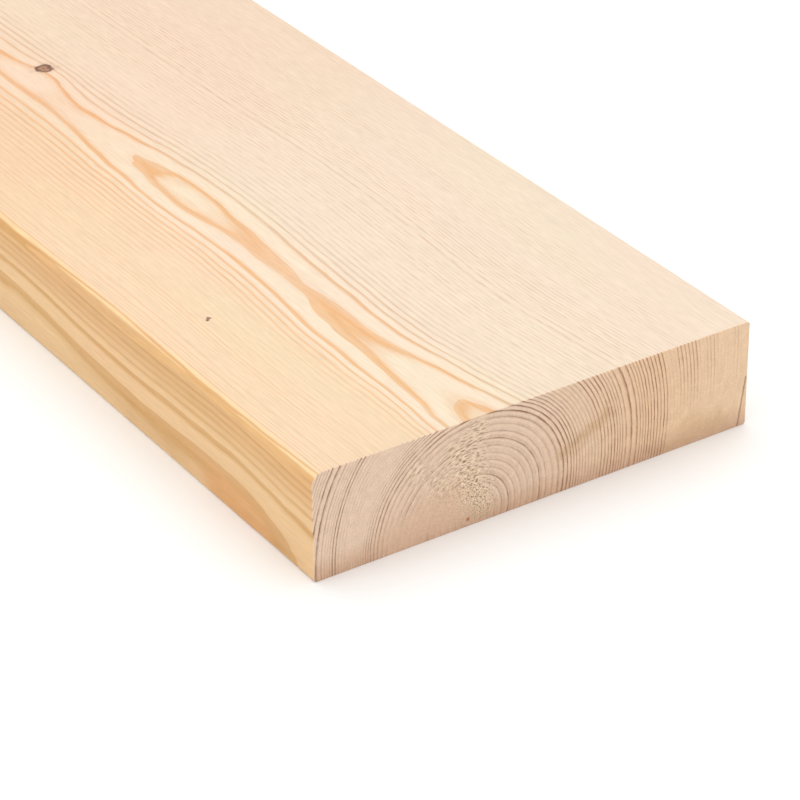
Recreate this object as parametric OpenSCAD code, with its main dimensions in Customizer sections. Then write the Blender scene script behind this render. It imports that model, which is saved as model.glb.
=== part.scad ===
// Timber plank: one straight length of planed softwood, lying on its wide face.
// X runs along the grain, Y across the board and Z up. The underside is at Z = 0
// and the middle of the board is at X = 0, Y = 0. The front edge faces -Y.

/* [Stock] */
// Length of the board as it is sold
board_length = 2400; // [900:100:6000]
// Planed width across the wide face
board_width = 195; // [70:1:245]
// Planed thickness
board_thickness = 45; // [18:1:95]

/* [Arrises] */
// Rounding of the upper front arris, the one that is run over most
front_arris_r = 4; // [1:0.5:8]
// Rounding of the upper back arris
back_arris_r = 2; // [0.5:0.5:8]
// Easing of the two lower arrises, just enough to take the sharpness off
lower_arris_r = 1; // [0.5:0.5:8]

/* [Hidden] */
half_w = board_width / 2;
// How far the cut at an arris runs out past the stock
cut_over = 1;
// Fresh planed softwood
pine_colour = [0.93, 0.80, 0.63];

// What the moulder takes off at one arris: the square corner less the round that stays.
// The corner is at the origin and the stock lies towards -x and -y.
module arris_waste(r) {
  difference() {
    translate([-r, -r])
      square(r + cut_over);
    translate([-r, -r])
      circle(r, $fn = 48);
  }
}

// The planed section, seen along the grain: front edge on the left, upper face on top.
module board_section() {
  difference() {
    translate([-half_w, 0])
      square([board_width, board_thickness]);
    translate([half_w, board_thickness])
      arris_waste(back_arris_r);
    translate([-half_w, board_thickness])
      mirror([1, 0])
        arris_waste(front_arris_r);
    translate([half_w, 0])
      mirror([0, 1])
        arris_waste(lower_arris_r);
    translate([-half_w, 0])
      rotate(180)
        arris_waste(lower_arris_r);
  }
}

// The board: the section run along the grain and crosscut square at both ends.
module plank() {
  color(pine_colour)
    rotate([90, 0, 90])
      linear_extrude(height = board_length, center = true)
        board_section();
}

plank();
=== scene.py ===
import bpy
import bmesh
import math
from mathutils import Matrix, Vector, noise


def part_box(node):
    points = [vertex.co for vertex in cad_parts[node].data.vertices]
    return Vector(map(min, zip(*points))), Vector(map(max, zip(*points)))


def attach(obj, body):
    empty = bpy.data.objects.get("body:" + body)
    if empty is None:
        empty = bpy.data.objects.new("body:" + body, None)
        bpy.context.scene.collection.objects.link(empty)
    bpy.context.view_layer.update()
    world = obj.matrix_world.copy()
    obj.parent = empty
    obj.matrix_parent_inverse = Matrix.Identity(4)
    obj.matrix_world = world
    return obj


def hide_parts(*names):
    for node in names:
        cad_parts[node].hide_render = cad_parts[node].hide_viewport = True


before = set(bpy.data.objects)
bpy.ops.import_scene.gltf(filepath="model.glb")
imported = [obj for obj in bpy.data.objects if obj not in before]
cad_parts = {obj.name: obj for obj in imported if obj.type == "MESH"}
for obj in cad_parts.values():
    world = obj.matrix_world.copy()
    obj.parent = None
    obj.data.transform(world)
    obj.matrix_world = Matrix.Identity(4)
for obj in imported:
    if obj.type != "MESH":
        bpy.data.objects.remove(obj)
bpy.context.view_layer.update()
boardLow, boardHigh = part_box("plank")
boardSize = boardHigh - boardLow
boardMiddle = (boardLow + boardHigh) / 2
mm = 0.001
tiny = 1e-6         # metres; places nearer than this are the same
squareOn = 0.999    # a face whose normal reaches this along an axis is square to it
length, width, thick = boardSize / mm    # the board in mm
girth = 2 * (width + thick)
print("frame loaded, board", round(length, 1), round(width, 1), round(thick, 1), "mm")


def hexLinear(code):
    # sRGB hex to the linear colour that shader sockets take
    channels = [int(code[i:i + 2], 16) / 255 for i in (1, 3, 5)]
    return [c / 12.92 if c <= 0.04045 else ((c + 0.055) / 1.055) ** 2.4 for c in channels] + [1.0]


def addNode(tree, kind, inputs=None, span=(), stops=None, points=None, **settings):
    # one node with its settings and links; a node given as an input is linked by its first output,
    # and span fills the inputs after the first, such as the ends of a range
    node = tree.nodes.new(kind)
    for name, value in settings.items():
        setattr(node, name, value)
    for key, value in (inputs or {}).items():
        if isinstance(value, bpy.types.Node):
            value = value.outputs[0]
        if isinstance(value, bpy.types.NodeSocket):
            tree.links.new(value, node.inputs[key])
        else:
            node.inputs[key].default_value = value
    for key, value in enumerate(span, 1):
        node.inputs[key].default_value = value
    for i, (place, colour) in enumerate(stops or []):
        ramp = node.color_ramp.elements
        stop = ramp[i] if i < len(ramp) else ramp.new(place)
        stop.position = place
        stop.color = colour
    if points:
        curve = node.mapping.curves[0]
        for i, (x, y) in enumerate(points):
            if i < 2:
                curve.points[i].location = (x, y)
            else:
                curve.points.new(x, y)
        node.mapping.update()
    return node


soft = dict(interpolation_type="SMOOTHSTEP")    # for ranges that start and end gently


def deselectAll():
    bpy.ops.object.select_all(action="DESELECT")


# the board as a mesh: a block, its arrises rounded, its ends eased, then cut finely enough
# to take the saw's marks on the ends, the dips at the knots and the wander of the planer

plank = dict(
    frontArris=4 * mm,      # upper front arris, the rounded one
    backArris=1 * mm,       # upper back arris, all but sharp
    lowerArris=1 * mm,      # both lower arrises
    endEase=0.4 * mm,       # the saw leaves the end's rim a little soft
    lengthStep=8 * mm,      # spacing of the cross cuts along the board
    endStep=1.5 * mm,       # spacing of the cuts over the ends, halved again afterwards
    arrisWander=1.2 * mm,   # most stray of the planer at a square corner; half that in a round's middle
    wanderLength=33,        # mm along the board from one stray to the next
    wanderApart=50,         # sets the strays of the four arrises apart
    sawWave=0.12 * mm,      # broad hollows left by the saw
    waveWidth=9,            # mm across one of them
    sawRough=0.07 * mm,     # fine roughness on top of that
    roughWidth=1.7,         # mm across one grain of it
    tornDepth=0.45 * mm,    # pits where the fibres were pulled out
    tornWidth=1.9,          # mm across one of them
    tornFrom=0.45,          # noise below this leaves no pit
    crackDepth=0.3 * mm,    # drying crack near the back edge of the shown end
    knotDip=0.3 * mm,       # planing leaves a groove round a knot
    dipWidth=0.25,          # half width of the groove, in knot radii
    dipFull=4,              # mm; knots smaller than this have a shallower groove
    knotStep=4 * mm,        # spacing of the cuts round a knot, parted in four afterwards
    knotRadii=1.5,          # the finely cut patch reaches this many knot radii
    knotMargin=3,           # and this many mm more
    smoothAngle=35,         # degrees; sharper edges than this stay crisp
)
# branches: where each leaves the pith, where it comes out, and its radius; mm from the near end,
# from the front edge and from the underside
branches = [
    ((358, 66, -1), (350, 81.5, 45), 3.9),
    ((118, 66, 1), (116.7, 26.9, 45), 0.9),
    ((893, 68, -5), (905, 58, 45), 6.5),
    ((915, 67, -5), (938, 0, 24), 4.5),
    ((1415, 64, -9), (1422, 121, 45), 5.0),
    ((1880, 65, -3), (1905, 79, 45), 8.0),
    ((1876, 65, -3), (1890, 195, 29), 4.0),
]
# torn fibres on the shown end: two ends of a patch, its half width and how bad it is; mm across and up
tornPatches = [
    ((63, 32), (71, 9), 12, 0.9),
    ((44, 31), (60, 18), 10, 0.45),
    ((71, 41), (69, 30), 8, 0.7),
]
# drying crack on the shown end: its two ends, half its width and that of its bottom; mm across and up
crackStart = Vector((194.2, 21))
crackEnd = Vector((191.2, 0.5))
crackHalf = 0.35
crackBottom = 0.05


def fromMm(spot):
    # mm from the near end, the front edge and the underside to the board's own frame
    return Vector((boardHigh.x - spot[0] * mm, boardLow.y + spot[1] * mm, boardLow.z + spot[2] * mm))


def toMm(spot):
    return Vector((boardHigh.x - spot.x, spot.y - boardLow.y, spot.z - boardLow.z)) / mm


def offLine(spot, lineStart, lineEnd):
    # how far a spot lies from a line between two points, in mm
    start = Vector(lineStart)
    run = Vector(lineEnd) - start
    along = min(1, max(0, (spot - start).dot(run) / run.length_squared))
    return (spot - start - along * run).length


def pick(piece, kind, wanted):
    # selects the edges or the faces that pass the test, in edit mode
    mesh = bmesh.from_edit_mesh(piece.data)
    bpy.ops.mesh.select_all(action="DESELECT")
    for part in (mesh.edges if kind == "edges" else mesh.faces):
        part.select = wanted(part)
    bmesh.update_edit_mesh(piece.data)


def cutFaces(piece, wanted, axis, places):
    # parts the wanted faces square to one axis
    for place in places:
        spot = Vector((0, 0, 0))
        spot[axis] = place
        pick(piece, "faces", wanted)
        bpy.ops.mesh.bisect(plane_co=spot, plane_no=[float(axis == n) for n in range(3)])


def evenly(low, high, step):
    parts = max(2, round((high - low) / step))
    return [low + (high - low) * i / parts for i in range(parts + 1)]


def lies(edge, axis, place):
    return all(abs(vert.co[axis] - place) < tiny for vert in edge.verts)


deselectAll()
bpy.ops.mesh.primitive_cube_add(size=1, location=boardMiddle)
board = bpy.context.object
board.name = "planedBoard"
board.scale = boardSize
bpy.ops.object.transform_apply(location=True, rotation=False, scale=True)
bpy.ops.object.mode_set(mode="EDIT")
bpy.ops.mesh.select_mode(type="EDGE")
arrises = [  # place across, height, rounding, facets
    (boardLow.y, boardHigh.z, plank["frontArris"], 8),
    (boardHigh.y, boardHigh.z, plank["backArris"], 5),
    (boardLow.y, boardLow.z, plank["lowerArris"], 3),
    (boardHigh.y, boardLow.z, plank["lowerArris"], 3),
]
for side, level, radius, steps in arrises:
    pick(board, "edges", lambda edge: lies(edge, 1, side) and lies(edge, 2, level))
    bpy.ops.mesh.bevel(offset=radius, segments=steps, affect="EDGES")
for end in (boardLow.x, boardHigh.x):
    pick(board, "edges", lambda edge: lies(edge, 0, end))
    bpy.ops.mesh.bevel(offset=plank["endEase"], segments=2, affect="EDGES")

# cross cuts along the board
pick(board, "edges", lambda edge: abs(edge.verts[0].co.x - edge.verts[1].co.x) > boardSize.x / 2)
bpy.ops.mesh.subdivide(number_cuts=round(boardSize.x / plank["lengthStep"]) - 1)


# a grid over both ends, rims and all
def atEnd(face):
    fromEnd = boardSize.x / 2 - abs(face.calc_center_median().x - boardMiddle.x)
    return fromEnd < plank["endEase"] + tiny


bpy.ops.mesh.select_mode(type="FACE")
for axis in (1, 2):
    cutFaces(board, atEnd, axis, evenly(boardLow[axis], boardHigh[axis], plank["endStep"])[1:-1])
pick(board, "faces", lambda face: abs(face.normal.x) > squareOn)
bpy.ops.mesh.subdivide(number_cuts=1)


def byCrack(face):
    middle = toMm(face.calc_center_median())
    return face.normal.x > squareOn and offLine(middle.yz, crackStart, crackEnd) < 3 * crackHalf


# three cuts along the drying crack, so that it can be sunk as a groove
crackRun = crackEnd - crackStart
crackSide = Vector((-crackRun.y, crackRun.x))
for shift in (-crackHalf, 0, crackHalf):
    pick(board, "faces", byCrack)
    cutAt = crackStart + crackSide.normalized() * shift
    bpy.ops.mesh.bisect(plane_co=fromMm((0, *cutAt)), plane_no=(0, *crackSide))

# a finer patch round each knot, on the face where it comes out
for _, tip, size in branches:
    tip = fromMm(tip)
    outAxis = 2 if abs(tip.z - boardHigh.z) < tiny else 1
    flatAxis = 3 - outAxis
    half = (plank["knotRadii"] * size + plank["knotMargin"]) * mm
    low = tip - Vector((half, half, half))
    high = tip + Vector((half, half, half))

    def inPatch(face, slack=0.0):
        places = [vert.co for vert in face.verts]
        if abs(face.normal[outAxis]) < squareOn or abs(places[0][outAxis] - tip[outAxis]) > 10 * tiny:
            return False
        return all(min(co[n] for co in places) < high[n] - slack and
                   max(co[n] for co in places) > low[n] + slack for n in (0, flatAxis))

    for axis in (0, flatAxis):
        cutFaces(board, inPatch, axis, evenly(low[axis], high[axis], plank["knotStep"]))
    pick(board, "faces", lambda face: inPatch(face, 10 * tiny))
    bpy.ops.mesh.subdivide(number_cuts=3)
bpy.ops.object.mode_set(mode="OBJECT")


# relief, all of it inwards so that the board keeps to its planed size
def swell(place, size):
    # soft noise from 0 to 1, one lump to each size
    return 0.5 + 0.5 * noise.noise(place / size)


for vert in board.data.vertices:
    place = toMm(vert.co)
    fromEnd = boardSize.x / 2 - abs(vert.co.x - boardMiddle.x)
    if fromEnd < tiny:
        flat = place.yz
        deep = plank["sawWave"] * swell(place, plank["waveWidth"])
        deep += plank["sawRough"] * swell(place, plank["roughWidth"])
        if vert.co.x > boardMiddle.x:
            for lineStart, lineEnd, reach, most in tornPatches:
                nearby = max(0, 1 - offLine(flat, lineStart, lineEnd) / reach)
                pit = max(0, swell(place, plank["tornWidth"]) - plank["tornFrom"])
                deep += plank["tornDepth"] * most * nearby * pit
            if offLine(flat, crackStart, crackEnd) < crackBottom:
                deep += plank["crackDepth"]
        vert.co.x -= math.copysign(deep, vert.co.x - boardMiddle.x)
    for side, level, radius, _ in arrises:
        # on a rounded arris: strays towards the middle of the round
        y = abs(vert.co.y - side) / radius
        z = abs(vert.co.z - level) / radius
        if y < 1 and z < 1:
            lane = Vector((place.x, side * plank["wanderApart"], level * plank["wanderApart"]))
            stray = plank["arrisWander"] * (1 - y) * (1 - z) * radius / plank["frontArris"]
            stray *= swell(lane, plank["wanderLength"])
            vert.co.y -= math.copysign(stray, side)
            vert.co.z -= math.copysign(stray, level - boardMiddle.z)
    for _, tip, size in branches:
        gap = (place - Vector(tip)).length / size
        if gap < 2 and fromEnd > mm:
            dip = plank["knotDip"] * math.exp(-((gap - 1) / plank["dipWidth"]) ** 2)
            dip *= min(1, size / plank["dipFull"])
            if abs(fromMm(tip).z - boardHigh.z) < tiny:
                vert.co.z -= dip
            else:
                vert.co.y -= math.copysign(dip, vert.co.y)
bpy.ops.object.shade_smooth_by_angle(angle=math.radians(plank["smoothAngle"]))
print("board shaped:", len(board.data.polygons), "faces")

# a flat layout of the surface: the section unrolled and parted into four lengths, two by two, and
# the ends beside one another below them, larger because they hold the finest marks
sheet = dict(
    pixels=1024,         # along each side of the sheet
    gap=6,               # pixels between the pieces
    strips=4,
    columns=2,
    stripLength=600,     # mm of board in one strip
    stripScale=0.835,    # pixels to a mm on the strips
    endScale=2.55,       # pixels to a mm on the ends
    edgeLean=1.05,       # faces that lean so many times more to the side than up belong to an edge
)
rows = sheet["strips"] // sheet["columns"]
endPart = 0.3            # faces that lean more than this towards the end belong to it


def onStrip(normal, across, up):
    # mm round the section, from the lower front arris over the top to the underside
    if abs(normal.y) > sheet["edgeLean"] * abs(normal.z):
        return up if normal.y < 0 else 2 * thick + width - up
    return thick + across if normal.z > 0 else girth - across


layout = board.data.uv_layers.new(name="OFBake")
for face in board.data.polygons:
    strip = min(sheet["strips"] - 1, int(toMm(face.center).x // sheet["stripLength"]))
    for corner in face.loop_indices:
        along, across, up = toMm(board.data.vertices[board.data.loops[corner].vertex_index].co)
        if abs(face.normal.x) > endPart:
            u = sheet["gap"] + across * sheet["endScale"]
            v = (rows + 2) * sheet["gap"] + rows * girth * sheet["stripScale"] + up * sheet["endScale"]
            if face.normal.x < 0:
                u += width * sheet["endScale"] + sheet["gap"]
        else:
            column = strip % sheet["columns"]
            row = strip // sheet["columns"]
            onLength = along - sheet["stripLength"] * (strip - column)
            onGirth = girth * row + onStrip(face.normal, across, up)
            u = sheet["gap"] * (1 + column) + onLength * sheet["stripScale"]
            v = sheet["gap"] * (1 + row) + onGirth * sheet["stripScale"]
        layout.data[corner].uv = (u / sheet["pixels"], v / sheet["pixels"])
print("surface laid out flat")

# the timber: growth rings run round a pith line that wanders a little along the board, so that
# the rings on the ends, the flames on the wide faces and the lines on the edges are one pattern

pine = dict(
    reach=140,           # mm from the pith, as far as the rings are counted
    # rings counted outwards: mm from the pith, number of the ring that ends there
    ringCount=[(0, 0), (6, 2), (18, 6), (32, 11), (42.7, 15), (44.55, 16), (46.2, 17), (47.4, 18),
               (48.7, 19), (51.3, 21), (57, 25), (66, 31), (71.2, 35), (73.8, 36), (76.2, 37),
               (77.6, 38), (78.8, 39), (81.3, 41), (90, 47), (103, 55.5), (140, 80)],
    flatReach=160,       # mm from the pith where the rings have flattened to half their height
    frontSqueeze=1.12,   # the tree grew slower on the front side, so the rings are closer there
    # mm from the near end, mm above the underside
    pithHeight=[(0, 3.05), (8, 2.75), (25, 1.85), (37, 1.58), (53, 1.22), (70, 1.0), (87, 0.97),
                (100, 0.83), (122, 0.69), (137, 0.66), (153, 0.75), (187, 1.06), (203, 1.24), (218, 1.2),
                (234, 0.88), (252, 0.66), (260, 0.3), (272, 0.0), (290, -0.4), (310, -0.56), (370, -0.68),
                (420, -0.95), (560, -2.9), (800, -5.6), (920, -5.2), (1060, -6.4), (1380, -9.2),
                (1680, -5.0), (1850, -3.4), (2000, -3.9), (2300, 0.5), (2400, 1.5)],
    # mm from the near end, mm from the front edge
    pithAcross=[(0, 66.2), (16, 65.8), (30, 65.28), (45, 64.9), (60, 64.7), (120, 64.8), (150, 64.68),
                (210, 64.0), (245, 63.7), (400, 63.6), (1000, 69.0), (1600, 62.0), (2150, 70.0),
                (2400, 72.0)],
    # mm from the near end, sideways lean of the rings for each mm above the pith
    ringLean=[(0, 0.124), (20, 0.106), (37, 0.1), (53, 0.075), (70, 0.067), (97, 0.087), (125, 0.123),
              (150, 0.153), (203, 0.18), (237, 0.174), (260, 0.15), (320, 0.128), (500, 0.1),
              (1200, 0.13), (1700, 0.07), (2400, 0.1)],
    # mm of wander in the rings, mm across one swell, times as long along the grain
    wander=[(0.25, 50, 7), (0.12, 10, 3.5), (0.1, 4.5, 3.5), (0.07, 2.2, 7)],
    # mm beside the pith over which the lean and the squeeze set in; the lean also from which share
    leanFade=(-60, -15, 0.1, 1),
    squeezeFade=(-55, -12),
    # wide rings keep latewood as thin as that of the narrow ones: mm from the pith, times thinner
    lateThin=(30, 44, 1.9, 1),
    ringSeed=1933,       # each ring differs a little from the next
    lumpsPerMm=0.28,     # knots are lumpy
    lumpShake=3.2,       # mm, how much
    branchTip=0.02,      # mm, radius of a branch where it leaves the pith
    # rings swell round a branch: by this share of its radius, over so many radii, squeezed along the grain
    knotSwell=(0.22, 1.5, 0.45),
)


def growthRings():
    tree = bpy.data.node_groups.new("growthRings", "ShaderNodeTree")
    for name in ("Late", "Chance", "Radius", "Angle", "Knot"):
        tree.interface.new_socket(name, in_out="OUTPUT", socket_type="NodeSocketFloat")
    tree.interface.new_socket("Place", in_out="OUTPUT", socket_type="NodeSocketVector")
    where = addNode(tree, "ShaderNodeTexCoord")
    # place holds mm from the near end, mm from the front edge, mm above the underside
    place = addNode(tree, "ShaderNodeMapping", {
        "Vector": where.outputs["Object"],
        "Location": (boardHigh.x / mm, -boardLow.y / mm, -boardLow.z / mm),
        "Scale": (-1 / mm, 1 / mm, 1 / mm),
    })
    axes = addNode(tree, "ShaderNodeSeparateXYZ", {0: place})
    share = addNode(tree, "ShaderNodeMath", {0: axes.outputs["X"], 1: length}, operation="DIVIDE")

    drawn = {}
    for name in ("pithHeight", "pithAcross", "ringLean"):
        values = [value for _, value in pine[name]]
        low = min(values)
        span = max(values) - low
        curve = addNode(tree, "ShaderNodeFloatCurve", {"Value": share},
                        points=[(along / length, (value - low) / span) for along, value in pine[name]])
        drawn[name] = addNode(tree, "ShaderNodeMath", {0: curve, 1: span, 2: low},
                              operation="MULTIPLY_ADD")

    above = addNode(tree, "ShaderNodeMath", {0: axes.outputs["Z"], 1: drawn["pithHeight"]},
                    operation="SUBTRACT")
    beside = addNode(tree, "ShaderNodeMath", {0: axes.outputs["Y"], 1: drawn["pithAcross"]},
                     operation="SUBTRACT")
    leanPart = addNode(tree, "ShaderNodeMapRange", {0: beside}, span=pine["leanFade"], **soft)
    leanBy = addNode(tree, "ShaderNodeMath", {0: drawn["ringLean"], 1: leanPart}, operation="MULTIPLY")
    shift = addNode(tree, "ShaderNodeMath", {0: above, 1: leanBy}, operation="MULTIPLY")
    upright = addNode(tree, "ShaderNodeMath", {0: beside, 1: shift}, operation="SUBTRACT")
    squeeze = addNode(tree, "ShaderNodeMapRange", {0: upright},
                      span=(*pine["squeezeFade"], pine["frontSqueeze"], 1))
    grown = addNode(tree, "ShaderNodeMath", {0: upright, 1: squeeze}, operation="MULTIPLY")
    sideways = addNode(tree, "ShaderNodeMath", {0: grown}, operation="ABSOLUTE")
    outward = addNode(tree, "ShaderNodeMath", {0: sideways, 1: pine["flatReach"]}, operation="DIVIDE")
    cubed = addNode(tree, "ShaderNodeMath", {0: outward, 1: 3.0}, operation="POWER")
    flatter = addNode(tree, "ShaderNodeMath", {0: cubed, 1: 1.0}, operation="ADD")
    aboveFlat = addNode(tree, "ShaderNodeMath", {0: above, 1: flatter}, operation="DIVIDE")
    fromPith = addNode(tree, "ShaderNodeCombineXYZ", {0: grown, 1: aboveFlat})
    radius = addNode(tree, "ShaderNodeVectorMath", {0: fromPith}, operation="LENGTH").outputs["Value"]

    for stray, wide, stretch in pine["wander"]:
        drift = addNode(tree, "ShaderNodeMapping", {
            "Vector": place, "Scale": (1 / wide / stretch, 1 / wide, 1 / wide)})
        cloud = addNode(tree, "ShaderNodeTexNoise", {"Vector": drift, "Scale": 1.0, "Detail": 0.0})
        off = addNode(tree, "ShaderNodeMath", {0: cloud, 1: 0.5}, operation="SUBTRACT")
        radius = addNode(tree, "ShaderNodeMath", {0: off, 1: 2 * stray, 2: radius},
                         operation="MULTIPLY_ADD")

    # knots are a bit lumpy, so the place they are measured from is shaken a little
    shake = Vector((1, 1, 1)) * pine["lumpShake"]
    lumps = addNode(tree, "ShaderNodeTexNoise", {"Vector": place, "Scale": pine["lumpsPerMm"], "Detail": 2.0})
    shaken = addNode(tree, "ShaderNodeVectorMath", {0: lumps.outputs["Color"], 1: shake, 2: place},
                     operation="MULTIPLY_ADD")
    knotPlace = addNode(tree, "ShaderNodeVectorMath", {0: shaken, 1: shake / 2}, operation="SUBTRACT")
    swellShare, swellRadii, swellSlim = pine["knotSwell"]
    knot = None
    for root, tip, size in branches:
        away = Vector(tip) - Vector(root)
        reach = away.length
        away.normalize()
        toRoot = addNode(tree, "ShaderNodeVectorMath", {0: knotPlace, 1: root}, operation="SUBTRACT")
        along = addNode(tree, "ShaderNodeVectorMath", {0: toRoot, 1: away}, operation="DOT_PRODUCT")
        # a branch is a cone that starts at the pith
        cone = addNode(tree, "ShaderNodeMapRange", {0: along.outputs["Value"]},
                       span=(0, reach, pine["branchTip"], size))
        side = addNode(tree, "ShaderNodeVectorMath", {0: toRoot, 1: away}, operation="CROSS_PRODUCT")
        gap = addNode(tree, "ShaderNodeVectorMath", {0: side}, operation="LENGTH")
        sizes = addNode(tree, "ShaderNodeMath", {0: gap.outputs["Value"], 1: cone}, operation="DIVIDE")
        knot = sizes if knot is None else addNode(tree, "ShaderNodeMath", {0: knot, 1: sizes},
                                                  operation="MINIMUM")
        # rings swell outwards round a branch, over a longer way along the grain
        slim = addNode(tree, "ShaderNodeVectorMath", {0: toRoot, 1: (swellSlim, 1, 1)}, operation="MULTIPLY")
        turned = addNode(tree, "ShaderNodeVectorMath", {0: slim, 1: away}, operation="CROSS_PRODUCT")
        nearness = addNode(tree, "ShaderNodeVectorMath", {0: turned, 1: turned}, operation="DOT_PRODUCT")
        fade = addNode(tree, "ShaderNodeMath", {0: nearness.outputs["Value"],
                                                1: -0.5 / (swellRadii * size) ** 2}, operation="MULTIPLY")
        hump = addNode(tree, "ShaderNodeMath", {0: math.e, 1: fade}, operation="POWER")
        radius = addNode(tree, "ShaderNodeMath", {0: hump, 1: -swellShare * size, 2: radius},
                         operation="MULTIPLY_ADD")

    most = pine["ringCount"][-1][1]
    outShare = addNode(tree, "ShaderNodeMath", {0: radius, 1: pine["reach"]}, operation="DIVIDE")
    count = addNode(tree, "ShaderNodeFloatCurve", {"Value": outShare},
                    points=[(at / pine["reach"], n / most) for at, n in pine["ringCount"]])
    rings = addNode(tree, "ShaderNodeMath", {0: count, 1: float(most)}, operation="MULTIPLY")
    part = addNode(tree, "ShaderNodeMath", {0: rings}, operation="FRACT")
    thin = addNode(tree, "ShaderNodeMapRange", {0: radius}, span=pine["lateThin"])
    rest = addNode(tree, "ShaderNodeMath", {0: 1.0, 1: part}, operation="SUBTRACT")
    late = addNode(tree, "ShaderNodeMath", {0: rest, 1: thin}, operation="MULTIPLY")
    lateOn = addNode(tree, "ShaderNodeMath", {0: 1.0, 1: late}, operation="SUBTRACT")
    angle = addNode(tree, "ShaderNodeMath", {0: aboveFlat, 1: grown}, operation="ARCTAN2")
    number = addNode(tree, "ShaderNodeMath", {0: rings}, operation="FLOOR")
    seeded = addNode(tree, "ShaderNodeMath", {0: number, 1: pine["ringSeed"]}, operation="ADD")
    chance = addNode(tree, "ShaderNodeTexWhiteNoise", {"W": seeded}, noise_dimensions="1D")
    addNode(tree, "NodeGroupOutput", {
        "Late": lateOn, "Chance": chance.outputs["Value"], "Radius": radius, "Angle": angle,
        "Knot": knot, "Place": place})
    return tree


ringGroup = growthRings()
woodIor = 1.5


def newMaterial(name):
    material = bpy.data.materials.new(name)
    material.use_nodes = True
    return material, material.node_tree, material.node_tree.nodes["Principled BSDF"]


def nearValue(tree, value, middle, fade):
    # a soft band round one value
    away = addNode(tree, "ShaderNodeMath", {0: value, 1: middle}, operation="SUBTRACT")
    gap = addNode(tree, "ShaderNodeMath", {0: away}, operation="ABSOLUTE")
    return addNode(tree, "ShaderNodeMapRange", {0: gap}, span=fade, **soft)


def nearLine(tree, place, lineStart, lineEnd, reach, most):
    # a soft patch along a line: most at the line, nothing farther off than reach, all in mm
    start = Vector(lineStart)
    run = Vector(lineEnd) - start
    toStart = addNode(tree, "ShaderNodeVectorMath", {0: place, 1: start}, operation="SUBTRACT")
    along = addNode(tree, "ShaderNodeVectorMath", {0: toStart, 1: run / run.length_squared},
                    operation="DOT_PRODUCT")
    held = addNode(tree, "ShaderNodeClamp", {"Value": along.outputs["Value"]})
    back = addNode(tree, "ShaderNodeVectorMath", {0: -run, 1: held, 2: toStart}, operation="MULTIPLY_ADD")
    gap = addNode(tree, "ShaderNodeVectorMath", {0: back}, operation="LENGTH")
    return addNode(tree, "ShaderNodeMapRange", {0: gap.outputs["Value"]}, span=(reach, 0, 0, most), **soft)


# planed pine: pale silky earlywood with orange latewood lines, warmer on the heart side, pinker
# towards the back, with a painted highlight along the front arris, and darker away from the near end:
# painted shade over the first stretch, then some stretches deeper in tone along the board

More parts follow.
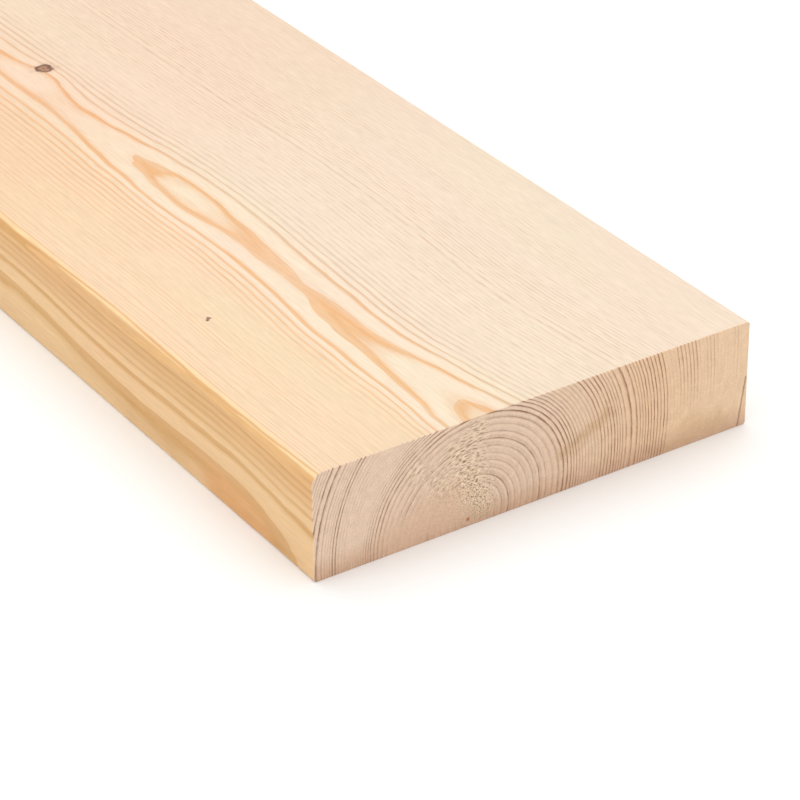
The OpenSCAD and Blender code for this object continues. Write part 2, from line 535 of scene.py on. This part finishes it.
planed = dict(
    back="#e6d2bd", front="#e6cbaa", heart="#e9d4bc", edge="#e3bd8e", rosy="#d6a976",
    # the rim colour is a painted highlight along the top of the front arris
    rimHighlight="#eccd9c", gold="#dcae74", resin="#d8a267",
    lateBack="#cfab88", late="#dfaa74", lateEdge="#cb9a5c",
    # the first tint below darkens the wood: painted shade away from the near end, deeper stretches further
    # along
    deepAndShadeTint="#fdf5f0", pinkTint="#fffdfc", yellowTint="#fdfffa",
    # from the middle of a knot to its rim
    knotTones=[(0, "#85583f"), (0.25, "#aa7c59"), (0.55, "#9c6d50"), (0.85, "#6c402b"), (1, "#633a27")],
    skirt="#c39a76",
    # darkness of the wood through one ring, from its start to its end
    lineTone=[(0, 0.3), (0.14, 0.1), (0.22, 0), (0.62, 0), (0.77, 0.35), (0.85, 0.85), (0.9, 1), (1, 0.8)],
    # how strongly the lines show, by mm from the front edge
    lineShow=[(0, 1.0), (5, 0.7), (12, 0.4), (22, 0.45), (30, 0.45), (38, 0.7), (48, 0.8), (62, 1.0),
              (82, 1.0), (90, 0.75), (98, 0.5), (106, 0.42), (114, 0.42), (122, 0.48), (135, 0.54),
              (150, 0.46), (156, 0.2), (163, 0.4), (170, 0.35), (176, 0.15), (195, 0.15)],
    # how much wider the lines are than the rings give, as a share of a ring, by mm from the front edge
    lineWiden=[(0, 0.1), (5, 0.02), (32, 0.02), (45, 0.05), (60, 0.07), (70, 0.0), (80, 0.0), (90, 0.05),
               (110, 0.04), (195, 0.04)],
    # the same by mm from the near end
    lineSwell=[(0, 0.02), (24, 0.0), (45, 0.0), (62, 0.07), (95, 0.08), (115, 0.05), (135, 0.04),
               (160, 0.02), (185, 0.0), (222, 0.0), (235, 0.08), (256, 0.08), (280, 0.0), (700, 0.04),
               (1300, 0.0), (2400, 0.03)],
    # how far the wood is darkened towards its deeper tone, by mm from the near end: painted shade
    # over the first 350 mm, then stretches deeper in tone along the rest
    deeperAndShade=[(0, 0.0), (130, 0.1), (240, 0.5), (350, 1.0), (600, 0.6), (1000, 0.9), (1500, 0.4), (2000, 0.8),
            (2400, 0.3)],
    # streaks along the grain: mm long, mm wide
    streaks=dict(fibre=(30, 0.6), band=(90, 4.0), dash=(8, 0.9), cloud=(120, 28.0)),
    # stretches where the lines fade, and the resin: two ends of a line, mm round it, how much
    calmStretches=[((0, 37, 45), (165, 37, 45), 14, 0.75), ((250, 104, 45), (440, 104, 45), 17, 0.6)],
    resinPatch=((40, 0, 2), (68, 0, 6), 14, 1.0),
    resinSway=(40, 0, 8),    # mm that its border strays
    # mm from the front edge where each sets in and where it is full
    offHeart=(84, 110), byFront=(5, 2), warmFrom=(95, 35), lateWarmFrom=(89, 76),
    rosyFrom=(24, 37),       # mm above the underside
    # mm round the front arris, from 4 where the upper face ends to -4 where the front edge begins; the rim
    # there is a painted highlight
    edgeFrom=(3.5, -2.5), rimHighlightAt=1.3, rimHighlightFade=(2.2, 0.8), goldAt=-3.5, goldFade=(4.4, 2.6),
    heartAt=44.5,            # mm from the pith, the ring that makes the flames
    heartFade=(4, 1),
    # lines: how they differ by ring, and how the streaks break them; noise from and to, strength from and to
    ringVary=(0.55, 0.5), bandBreak=(0.35, 0.6, 0.82, 1.06), dashBreak=(0.34, 0.6, -0.65, 0.25),
    goldBreak=(0.44, 0.58), cloudMix=(0.35, 0.65),
    # shading by the streaks: noise from and to, brightness from and to
    shading=dict(fibre=(0.3, 0.7, 0.95, 1.035), dash=(0.3, 0.7, 1.045, 0.955), band=(0.3, 0.7, 0.985, 1.015)),
    blotchesPerMm=0.33, blotchMix=2,    # unevenness of the knots
    knotFade=(1.2, 0.8), skirtFade=(1.9, 1, 0, 0.35),    # in knot radii
    rough=(0.3, 0.7, 0.62, 0.48),       # noise from and to, roughness from and to
    relief=0.03 * mm,
)


def planedPine():
    material, tree, surface = newMaterial("planed pine")
    rings = addNode(tree, "ShaderNodeGroup", node_tree=ringGroup)
    place = rings.outputs["Place"]
    axes = addNode(tree, "ShaderNodeSeparateXYZ", {0: place})
    across = addNode(tree, "ShaderNodeMath", {0: axes.outputs["Y"], 1: width}, operation="DIVIDE")
    along = addNode(tree, "ShaderNodeMath", {0: axes.outputs["X"], 1: length}, operation="DIVIDE")
    streaks = {}
    for name, (longWay, wideWay) in planed["streaks"].items():
        drawnOut = addNode(tree, "ShaderNodeMapping", {
            "Vector": place, "Scale": (1 / longWay, 1 / wideWay, 1 / wideWay)})
        streaks[name] = addNode(tree, "ShaderNodeTexNoise", {"Vector": drawnOut, "Scale": 1.0, "Detail": 2.5})

    # latewood lines, stronger by the heart, each ring a little different, broken along the grain
    lineWiden = addNode(tree, "ShaderNodeFloatCurve", {"Value": across},
                        points=[(at / width, widen) for at, widen in planed["lineWiden"]])
    lineSwell = addNode(tree, "ShaderNodeFloatCurve", {"Value": along},
                        points=[(at / length, swollen) for at, swollen in planed["lineSwell"]])
    swollen = addNode(tree, "ShaderNodeMath", {0: lineWiden, 1: lineSwell}, operation="ADD")
    lateWood = addNode(tree, "ShaderNodeMath", {0: rings.outputs["Late"], 1: 0.0}, operation="MAXIMUM")
    widened = addNode(tree, "ShaderNodeMath", {0: lateWood, 1: swollen}, operation="ADD")
    line = addNode(tree, "ShaderNodeValToRGB", {0: widened},
                   stops=[(at, (dark, dark, dark, 1)) for at, dark in planed["lineTone"]])
    lineShow = addNode(tree, "ShaderNodeFloatCurve", {"Value": across},
                       points=[(at / width, show) for at, show in planed["lineShow"]])
    vary = addNode(tree, "ShaderNodeMath", {0: rings.outputs["Chance"]}, span=planed["ringVary"],
                   operation="MULTIPLY_ADD")
    broken = addNode(tree, "ShaderNodeMapRange", {0: streaks["band"]}, span=planed["bandBreak"])
    offHeart = addNode(tree, "ShaderNodeMapRange", {0: axes.outputs["Y"]}, span=planed["offHeart"])
    dashes = addNode(tree, "ShaderNodeMapRange", {0: streaks["dash"]}, span=planed["dashBreak"])
    dashed = addNode(tree, "ShaderNodeMath", {0: dashes, 1: offHeart, 2: 1.0}, operation="MULTIPLY_ADD")
    strengths = [lineShow, vary, broken, dashed]
    for stretch in planed["calmStretches"]:
        calm = nearLine(tree, place, *stretch)
        strengths.append(addNode(tree, "ShaderNodeMath", {0: 1.0, 1: calm}, operation="SUBTRACT"))
    for strength in strengths:
        line = addNode(tree, "ShaderNodeMath", {0: line, 1: strength}, operation="MULTIPLY")

    # how far round the front arris
    upAndIn = addNode(tree, "ShaderNodeMath", {0: axes.outputs["Y"], 1: axes.outputs["Z"]}, operation="ADD")
    slope = addNode(tree, "ShaderNodeMath", {0: upAndIn, 1: thick}, operation="SUBTRACT")
    byFront = addNode(tree, "ShaderNodeMapRange", {0: axes.outputs["Y"]}, span=planed["byFront"], **soft)
    pastArris = addNode(tree, "ShaderNodeMapRange", {0: slope}, span=planed["edgeFrom"], **soft)
    edge = addNode(tree, "ShaderNodeMath", {0: pastArris, 1: byFront}, operation="MULTIPLY")
    # a painted highlight as a pale rim where the round begins, and a golden band below it that comes and goes
    onRimHighlight = nearValue(tree, slope, planed["rimHighlightAt"], planed["rimHighlightFade"])
    rimHighlight = addNode(tree, "ShaderNodeMath", {0: onRimHighlight, 1: byFront}, operation="MULTIPLY")
    onGold = nearValue(tree, slope, planed["goldAt"], planed["goldFade"])
    golden = addNode(tree, "ShaderNodeMapRange", {0: streaks["band"]}, span=planed["goldBreak"])
    goldHere = addNode(tree, "ShaderNodeMath", {0: onGold, 1: golden}, operation="MULTIPLY")
    gold = addNode(tree, "ShaderNodeMath", {0: goldHere, 1: byFront}, operation="MULTIPLY")

    warm = addNode(tree, "ShaderNodeMapRange", {0: axes.outputs["Y"]}, span=planed["warmFrom"], **soft)
    heart = nearValue(tree, rings.outputs["Radius"], planed["heartAt"], planed["heartFade"])
    # the front edge is rosier where the fine rings run out, just under the arris
    under = addNode(tree, "ShaderNodeMapRange", {0: axes.outputs["Z"]}, span=planed["rosyFrom"], **soft)
    rosy = addNode(tree, "ShaderNodeMath", {0: edge, 1: under}, operation="MULTIPLY")
    resinSway = Vector(planed["resinSway"])
    sway = addNode(tree, "ShaderNodeVectorMath", {0: streaks["band"].outputs["Color"], 1: resinSway,
                                                  2: place}, operation="MULTIPLY_ADD")
    swayed = addNode(tree, "ShaderNodeVectorMath", {0: sway, 1: resinSway / 2}, operation="SUBTRACT")
    resin = nearLine(tree, swayed, *planed["resinPatch"])
    tone = hexLinear(planed["back"])
    # the rim layer paints a highlight on the front arris
    for mask, name in ((warm, "front"), (heart, "heart"), (edge, "edge"), (rosy, "rosy"), (gold, "gold"),
                       (rimHighlight, "rimHighlight")):
        tone = addNode(tree, "ShaderNodeMix", {0: mask, 6: tone, 7: hexLinear(planed[name])},
                       data_type="RGBA").outputs[2]
    lateWarm = addNode(tree, "ShaderNodeMapRange", {0: axes.outputs["Y"]},
                       span=planed["lateWarmFrom"], **soft)
    lateTone = hexLinear(planed["lateBack"])
    for mask, name in ((lateWarm, "late"), (edge, "lateEdge")):
        lateTone = addNode(tree, "ShaderNodeMix", {0: mask, 6: lateTone, 7: hexLinear(planed[name])},
                           data_type="RGBA").outputs[2]
    for mask, colour in ((line, lateTone), (resin, hexLinear(planed["resin"]))):
        tone = addNode(tree, "ShaderNodeMix", {0: mask, 6: tone, 7: colour}, data_type="RGBA").outputs[2]

    # shading of the fibres, clouds of pinker and yellower wood, and the deeper tint: painted shade
    # away from the near end, then deeper stretches along the board
    deeperAndShade = addNode(tree, "ShaderNodeFloatCurve", {"Value": along},
                     points=[(at / length, deep) for at, deep in planed["deeperAndShade"]])
    offEdge = addNode(tree, "ShaderNodeMath", {0: 1.0, 1: edge}, operation="SUBTRACT")
    deep = addNode(tree, "ShaderNodeMath", {0: deeperAndShade, 1: offEdge}, operation="MULTIPLY")
    deepAndShadeTint = addNode(tree, "ShaderNodeMix", {0: deep, 6: (1, 1, 1, 1), 7: hexLinear(planed["deepAndShadeTint"])},
                       data_type="RGBA")
    cloudy = addNode(tree, "ShaderNodeMapRange", {0: streaks["cloud"]}, span=planed["cloudMix"])
    cloudTint = addNode(tree, "ShaderNodeMix", {0: cloudy, 6: hexLinear(planed["pinkTint"]),
                                                7: hexLinear(planed["yellowTint"])}, data_type="RGBA")
    shades = [deepAndShadeTint.outputs[2], cloudTint.outputs[2]]
    for name, span in planed["shading"].items():
        shades.append(addNode(tree, "ShaderNodeMapRange", {0: streaks[name]}, span=span))
    for shade in shades:
        tone = addNode(tree, "ShaderNodeVectorMath", {0: tone, 1: shade}, operation="MULTIPLY").outputs[0]

    # knots: lighter and uneven inside, a dark rim that is thicker on one side, a brownish skirt
    blotch = addNode(tree, "ShaderNodeTexNoise", {"Vector": place, "Scale": planed["blotchesPerMm"],
                                                  "Detail": 3.0})
    uneven = addNode(tree, "ShaderNodeMath", {0: blotch, 1: 0.5}, operation="SUBTRACT")
    knotPart = addNode(tree, "ShaderNodeMath", {0: uneven, 1: planed["blotchMix"], 2: rings.outputs["Knot"]},
                       operation="MULTIPLY_ADD")
    knotTone = addNode(tree, "ShaderNodeValToRGB", {0: knotPart},
                       stops=[(at, hexLinear(code)) for at, code in planed["knotTones"]])
    knotMask = addNode(tree, "ShaderNodeMapRange", {0: rings.outputs["Knot"]},
                       span=planed["knotFade"], **soft)
    skirt = addNode(tree, "ShaderNodeMapRange", {0: knotPart}, span=planed["skirtFade"], **soft)
    for mask, colour in ((skirt, hexLinear(planed["skirt"])), (knotMask, knotTone)):
        tone = addNode(tree, "ShaderNodeMix", {0: mask, 6: tone, 7: colour}, data_type="RGBA").outputs[2]
    tree.links.new(tone, surface.inputs["Base Color"])
    rough = addNode(tree, "ShaderNodeMapRange", {0: streaks["fibre"]}, span=planed["rough"])
    tree.links.new(rough.outputs[0], surface.inputs["Roughness"])
    surface.inputs["IOR"].default_value = woodIor

    relief = addNode(tree, "ShaderNodeMath", {0: line, 1: streaks["fibre"]}, operation="SUBTRACT")
    reliefAll = addNode(tree, "ShaderNodeMath", {0: relief, 1: streaks["dash"]}, operation="SUBTRACT")
    bump = addNode(tree, "ShaderNodeBump", {"Height": reliefAll, "Distance": planed["relief"],
                                            "Strength": 1.0})
    tree.links.new(bump.outputs[0], surface.inputs["Normal"])
    return material


# sawn end grain: open fibre ends soak up light, so it is duller and greyer, with dark ring lines

sawn = dict(
    left="#e6c9b0", right="#e9c6a2", pale="#e9c8a6", low="#d3ae91", calm="#dbb79b",
    # pits in the torn fibres get painted shade, and the fibres between them painted highlights
    late="#956b51", lateBack="#9f6749", pitShade="#856541", fleckHighlight="#f0d9b6", smear="#bd9560", pith="#b9724a",
    # the drying crack is darkened with painted shade
    crackShade="#94694d", stain="#c39a64",
    # darkness of the wood through one ring, from its start to its end
    lineTone=[(0, 0.3), (0.04, 0), (0.5, 0), (0.68, 0.3), (0.82, 1), (0.97, 1), (1, 0.5)],
    # how strongly the rings show, by mm from the pith, in front of the pith and behind it
    frontShow=[(0, 0.2), (16, 0.55), (18, 0.95), (21, 0.45), (30, 0.55), (32, 0.9), (35, 0.5), (40, 0.65),
               (44, 0.85), (47.5, 0.8), (50, 0.5), (52, 0.3), (61, 0.25), (63.5, 0.4), (64.5, 0.9), (66, 0.9),
               (67.5, 0.35), (70.5, 0.4), (72, 0.9), (76.5, 0.85), (78, 0.5), (140, 0.5)],
    backShow=[(0, 0.2), (8, 0.45), (16, 0.6), (18, 0.95), (21, 0.45), (30, 0.55), (32, 0.9), (35, 0.5),
              (40, 0.65), (44, 1.0), (47.5, 0.95), (50, 0.6), (53, 0.45), (58, 0.5), (62, 0.95),
              (70, 0.85), (74, 0.8), (89, 0.95), (91, 0.2), (94, 0.2), (96, 0.7), (103, 0.8), (106, 0.1),
              (110, 0.5), (113, 0.1), (119, 0.05), (121, 0.3), (124, 0.0), (140, 0.0)],
    # patches: two ends of a line, mm round it, how much
    calmPatches=[((0, 36, 5), (0, 57, 11), 17, 0.85), ((0, 33, 42), (0, 16, 8), 8, 0.8)],
    brownSmear=((0, 108, 16), (0, 129, 27), 5, 0.42),
    stains=[((0, 168, 8), (0, 182, 6), 9, 0.3), ((0, 150, 3), (0, 168, 2), 4, 0.25)],
    # how strongly the painted shade in the drying crack shows
    crackShadeShow=0.75,
    tornCalm=-0.5,         # ring lines fade by this where the fibres are torn
    raggedShake=7,         # mm that the borders of the patches stray
    inward=0.2,            # marks belong to the shown end; the little that they lie in from it hardly counts
    # noise: swells to a mm
    fuzzPerMm=2, patchPerMm=0.16, raggedPerMm=0.3, grainPerMm=1.6,
    grainRound=8,          # steps of the grain to a radian round the pith
    # mm from the front edge where each sets in and where it is full
    pastPith=(60, 70), runOutBack=(156, 162), rightFrom=(95, 145), paleFrom=(158, 178),
    # the same, mm above the underside
    runOutLow=(34, 14), lowFrom=(10, 1),
    pithFade=(1.1, 0.4),   # mm from the pith
    # noise from and to, strength or brightness from and to
    ringVary=(0.35, 0.7), patchBreak=(0.35, 0.6, 0.6, 1.1), pitsAndShadeFrom=(0.52, 0.66), fleckHighlightFrom=(0.51, 0.39),
    fuzzShade=(0.3, 0.7, 0.9, 1.09), patchShade=(0.3, 0.7, 0.955, 1.045), grainShade=(0.3, 0.7, 1.04, 0.96),
    rough=0.85,
    relief=0.1 * mm,
    tornRelief=-1.4,       # torn pits against that
)


def sawnEnd():
    material, tree, surface = newMaterial("sawn end grain")
    rings = addNode(tree, "ShaderNodeGroup", node_tree=ringGroup)
    place = rings.outputs["Place"]
    axes = addNode(tree, "ShaderNodeSeparateXYZ", {0: place})
    shallow = addNode(tree, "ShaderNodeVectorMath", {0: place, 1: (sawn["inward"], 1, 1)},
                      operation="MULTIPLY")
    fuzz = addNode(tree, "ShaderNodeTexNoise", {"Vector": place, "Scale": sawn["fuzzPerMm"], "Detail": 2.0})
    patchy = addNode(tree, "ShaderNodeTexNoise", {"Vector": place, "Scale": sawn["patchPerMm"],
                                                  "Detail": 3.0})
    # patches have ragged borders, so they are measured from a shaken place
    ragged = addNode(tree, "ShaderNodeTexNoise", {"Vector": place, "Scale": sawn["raggedPerMm"],
                                                  "Detail": 3.0})
    shake = Vector((0, 1, 1)) * sawn["raggedShake"]
    shaken = addNode(tree, "ShaderNodeVectorMath", {0: ragged.outputs["Color"], 1: shake, 2: shallow},
                     operation="MULTIPLY_ADD")
    raggedPlace = addNode(tree, "ShaderNodeVectorMath", {0: shaken, 1: shake / 2}, operation="SUBTRACT")

    # ring lines come and go, run out towards the back and rest in the calm patches
    lines = addNode(tree, "ShaderNodeValToRGB", {0: rings.outputs["Late"]},
                    stops=[(at, (dark, dark, dark, 1)) for at, dark in sawn["lineTone"]])
    outward = addNode(tree, "ShaderNodeMath", {0: rings.outputs["Radius"], 1: pine["reach"]},
                      operation="DIVIDE")
    shows = [addNode(tree, "ShaderNodeFloatCurve", {"Value": outward},
                     points=[(at / pine["reach"], show) for at, show in sawn[name]])
             for name in ("frontShow", "backShow")]
    pastPith = addNode(tree, "ShaderNodeMapRange", {0: axes.outputs["Y"]}, span=sawn["pastPith"])
    lineShow = addNode(tree, "ShaderNodeMix", {0: pastPith, 2: shows[0].outputs[0], 3: shows[1].outputs[0]})
    vary = addNode(tree, "ShaderNodeMath", {0: rings.outputs["Chance"]}, span=sawn["ringVary"],
                   operation="MULTIPLY_ADD")
    broken = addNode(tree, "ShaderNodeMapRange", {0: patchy}, span=sawn["patchBreak"])
    backward = addNode(tree, "ShaderNodeMapRange", {0: axes.outputs["Y"]}, span=sawn["runOutBack"])
    downward = addNode(tree, "ShaderNodeMapRange", {0: axes.outputs["Z"]}, span=sawn["runOutLow"])
    runOut = addNode(tree, "ShaderNodeMath", {0: backward, 1: downward}, operation="MULTIPLY")
    stay = addNode(tree, "ShaderNodeMath", {0: 1.0, 1: runOut}, operation="SUBTRACT")
    strengths = [lineShow, vary, broken, stay]
    calmMasks = [nearLine(tree, raggedPlace, *patch) for patch in sawn["calmPatches"]]
    for calm in calmMasks:
        strengths.append(addNode(tree, "ShaderNodeMath", {0: 1.0, 1: calm}, operation="SUBTRACT"))

    # torn fibres above the pith, in specks that follow the rings: pits darkened with painted shade,
    # and fibres between them lightened with painted highlights
    torn = None
    for lineStart, lineEnd, reach, most in tornPatches:
        spot = nearLine(tree, raggedPlace, (0, *lineStart), (0, *lineEnd), reach, most)
        torn = spot if torn is None else addNode(tree, "ShaderNodeMath", {0: torn, 1: spot},
                                                 operation="MAXIMUM")
    roundWay = addNode(tree, "ShaderNodeMath", {0: rings.outputs["Angle"], 1: sawn["grainRound"]},
                       operation="MULTIPLY")
    ringPlace = addNode(tree, "ShaderNodeCombineXYZ", {0: rings.outputs["Radius"], 1: roundWay})
    grain = addNode(tree, "ShaderNodeTexNoise", {"Vector": ringPlace, "Scale": sawn["grainPerMm"],
                                                 "Detail": 2.0})
    # the same noise sinks the pits and paints their shade, and paints highlights on the fibres between them
    pitsAndShade = addNode(tree, "ShaderNodeMapRange", {0: grain}, span=sawn["pitsAndShadeFrom"])
    fleckHighlights = addNode(tree, "ShaderNodeMapRange", {0: grain}, span=sawn["fleckHighlightFrom"])
    tornPitsAndShade = addNode(tree, "ShaderNodeMath", {0: torn, 1: pitsAndShade}, operation="MULTIPLY")
    tornHighlights = addNode(tree, "ShaderNodeMath", {0: torn, 1: fleckHighlights}, operation="MULTIPLY")
    strengths.append(addNode(tree, "ShaderNodeMath", {0: torn, 1: sawn["tornCalm"], 2: 1.0},
                             operation="MULTIPLY_ADD"))
    for strength in strengths:
        lines = addNode(tree, "ShaderNodeMath", {0: lines, 1: strength}, operation="MULTIPLY")

    toRight = addNode(tree, "ShaderNodeMapRange", {0: axes.outputs["Y"]}, span=sawn["rightFrom"])
    farRight = addNode(tree, "ShaderNodeMapRange", {0: axes.outputs["Y"]}, span=sawn["paleFrom"])
    low = addNode(tree, "ShaderNodeMapRange", {0: axes.outputs["Z"]}, span=sawn["lowFrom"])
    lateTone = addNode(tree, "ShaderNodeMix", {0: toRight, 6: hexLinear(sawn["late"]),
                                               7: hexLinear(sawn["lateBack"])}, data_type="RGBA")
    pith = addNode(tree, "ShaderNodeMapRange", {0: rings.outputs["Radius"]}, span=sawn["pithFade"])
    # painted shade down the drying crack
    crackShade = nearLine(tree, shallow, (0, *crackStart), (0, *crackEnd), 2 * crackHalf, sawn["crackShadeShow"])
    layers = [(toRight, "right"), (farRight, "pale"), (low, "low"), (calmMasks[0], "calm")]
    layers += [(nearLine(tree, raggedPlace, *patch), "stain") for patch in sawn["stains"]]
    layers += [(nearLine(tree, raggedPlace, *sawn["brownSmear"]), "smear"), (lines, lateTone.outputs[2]),
               (tornPitsAndShade, "pitShade"), (tornHighlights, "fleckHighlight"), (pith, "pith"), (crackShade, "crackShade")]
    tone = hexLinear(sawn["left"])
    for mask, colour in layers:
        colour = hexLinear(sawn[colour]) if isinstance(colour, str) else colour
        tone = addNode(tree, "ShaderNodeMix", {0: mask, 6: tone, 7: colour}, data_type="RGBA").outputs[2]
    for swells, name in ((fuzz, "fuzzShade"), (ragged, "patchShade"), (grain, "grainShade")):
        shade = addNode(tree, "ShaderNodeMapRange", {0: swells}, span=sawn[name])
        tone = addNode(tree, "ShaderNodeVectorMath", {0: tone, 1: shade}, operation="MULTIPLY").outputs[0]
    tree.links.new(tone, surface.inputs["Base Color"])
    surface.inputs["Roughness"].default_value = sawn["rough"]
    surface.inputs["IOR"].default_value = woodIor

    deep = addNode(tree, "ShaderNodeMath", {0: tornPitsAndShade, 1: sawn["tornRelief"], 2: fuzz},
                   operation="MULTIPLY_ADD")
    relief = addNode(tree, "ShaderNodeMath", {0: lines, 1: deep}, operation="ADD")
    bump = addNode(tree, "ShaderNodeBump", {"Height": relief, "Distance": sawn["relief"], "Strength": 1.0})
    tree.links.new(bump.outputs[0], surface.inputs["Normal"])
    return material


board.data.materials.append(planedPine())
board.data.materials.append(sawnEnd())
for face in board.data.polygons:
    face.material_index = 1 if abs(face.normal.x) > endPart else 0
print("timber grown:", len(ringGroup.nodes), "nodes in the ring pattern")
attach(board, "root")
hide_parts("plank")

# floor, light and camera

studio = dict(    # metres and watts
    floorSize=60, floorColour="#f8f8f7", floorRough=0.9,
    skyColour="#ffffff", skyPower=0.8,
    overheadPlace=(0.4, 0.3, 3.0), overheadSize=5.0, overheadPower=70,
    frontPlace=(1.2, -3.0, 1.4), frontSize=3.0, frontPower=17,
)
view = dict(
    place=(2.0378, -0.6075, 0.6595),   # metres, in the board's own frame
    lookAt=(1.1740, -0.0435, 0.0450),
    roll=-0.55,                        # degrees
    lens=149.1,                        # mm
    sensor=36,                         # mm
    farthest=200,                      # metres
)

deselectAll()
bpy.ops.mesh.primitive_plane_add(size=studio["floorSize"], location=(0, 0, boardLow.z))
floor = bpy.context.object
floor.name = "studioFloor"
paper, _, paperSurface = newMaterial("white paper floor")
paperSurface.inputs["Base Color"].default_value = hexLinear(studio["floorColour"])
paperSurface.inputs["Roughness"].default_value = studio["floorRough"]
floor.data.materials.append(paper)

scene = bpy.context.scene
scene.world = bpy.data.worlds.new("studioSky")
scene.world.use_nodes = True
sky = scene.world.node_tree.nodes["Background"]
sky.inputs["Color"].default_value = hexLinear(studio["skyColour"])
sky.inputs["Strength"].default_value = studio["skyPower"]
for name in ("overhead", "front"):
    lamp = bpy.data.lights.new(name + "Softbox", "AREA")
    lamp.energy = studio[name + "Power"]
    lamp.size = studio[name + "Size"]
    holder = bpy.data.objects.new(name + "Softbox", lamp)
    scene.collection.objects.link(holder)
    holder.location = studio[name + "Place"]
    aim = Vector(view["lookAt"]) - holder.location
    holder.rotation_euler = aim.to_track_quat("-Z", "Y").to_euler()

lens = bpy.data.cameras.new("photoCamera")
lens.lens = view["lens"]
lens.sensor_width = view["sensor"]
lens.clip_end = view["farthest"]
camera = bpy.data.objects.new("photoCamera", lens)
scene.collection.objects.link(camera)
camera.location = view["place"]
camera.rotation_euler = (Vector(view["lookAt"]) - camera.location).to_track_quat("-Z", "Y").to_euler()
camera.rotation_euler.rotate_axis("Z", math.radians(view["roll"]))
scene.camera = camera
scene.view_settings.view_transform = "Standard"
print("floor, light and camera set")
